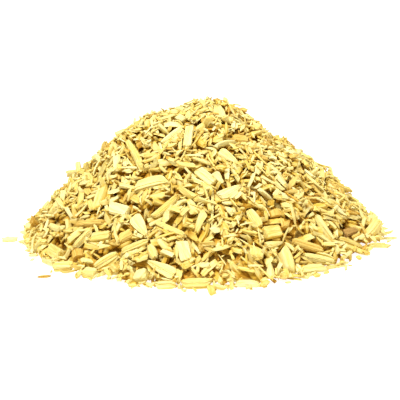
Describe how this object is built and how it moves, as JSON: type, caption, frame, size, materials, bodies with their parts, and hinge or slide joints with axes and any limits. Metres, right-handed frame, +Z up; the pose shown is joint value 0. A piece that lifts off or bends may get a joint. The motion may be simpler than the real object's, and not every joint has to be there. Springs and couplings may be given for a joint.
{
  "type": "heap of quassia wood chips",
  "caption": "Loose heap of chopped pale yellow quassia wood: small split chips, blocks, flakes and splinters, flat underneath to rest on a table.",
  "frame": {"origin": "on the table under the middle of the box round the heap and its stray chips", "axes": "+Z up, +X to the right of the heap as seen from the front, +Y away from the front"},
  "size_m": [0.1744, 0.1585, 0.0592],
  "materials": {
    "chip_mass": "matte dry chopped wood",
    "pale_wood": "matte dry sapwood",
    "yellow_wood": "matte dry wood with a fine grain",
    "tan_wood": "matte, darker heartwood",
    "bark": "matte rough bark"
  },
  "bodies": {
    "root": {"chip_mass": "chip_mass", "ridged_oval_slab": "pale_wood", "block_beside_slab": "yellow_wood", "leaning_split_chip": "yellow_wood", "pointed_block": "pale_wood", "grey_block": "tan_wood", "long_split_chip": "yellow_wood", "small_oval_chip": "pale_wood", "upright_block": "pale_wood", "three_cornered_flake": "pale_wood", "cube_chip": "yellow_wood", "front_flat_chip": "pale_wood", "front_flat_slab": "yellow_wood", "low_flat_block": "pale_wood", "twig_end": "tan_wood", "rough_chunk": "yellow_wood", "small_front_block": "pale_wood", "curved_strip": "yellow_wood", "reddish_split_chip": "tan_wood", "slanting_long_chip": "yellow_wood", "crossing_long_chip": "pale_wood", "chalky_block": "pale_wood", "great_slab": "yellow_wood", "broad_slab": "yellow_wood", "leaf_shaped_chip": "pale_wood", "white_splinter": "pale_wood", "bright_wedge": "pale_wood", "ringed_twig_slice": "tan_wood", "falling_slab": "yellow_wood", "flat_split_chip": "yellow_wood", "long_sliced_chip": "tan_wood", "standing_slab": "pale_wood", "toe_slab": "yellow_wood", "pale_blade": "pale_wood", "round_chunk": "yellow_wood", "bark_piece": "bark", "right_foot_chip": "yellow_wood", "upper_leaf_chip": "pale_wood", "upright_pale_chip": "pale_wood", "broad_flake": "pale_wood", "slanting_block": "pale_wood", "long_curved_chip": "yellow_wood", "orange_chunk": "tan_wood", "front_right_chip": "pale_wood", "left_stray_chip": "pale_wood", "right_stray_flake": "yellow_wood", "right_stray_splinter": "pale_wood", "right_stray_chip": "yellow_wood", "front_left_stray_splinter": "tan_wood", "back_chip_01": "yellow_wood", "back_chip_02": "pale_wood", "back_chip_03": "pale_wood", "back_chip_04": "yellow_wood", "back_chip_05": "tan_wood", "back_chip_06": "yellow_wood", "back_chip_07": "pale_wood", "back_chip_08": "pale_wood", "back_chip_09": "yellow_wood", "back_chip_10": "tan_wood", "back_chip_11": "yellow_wood"}
  },
  "joints": []
}
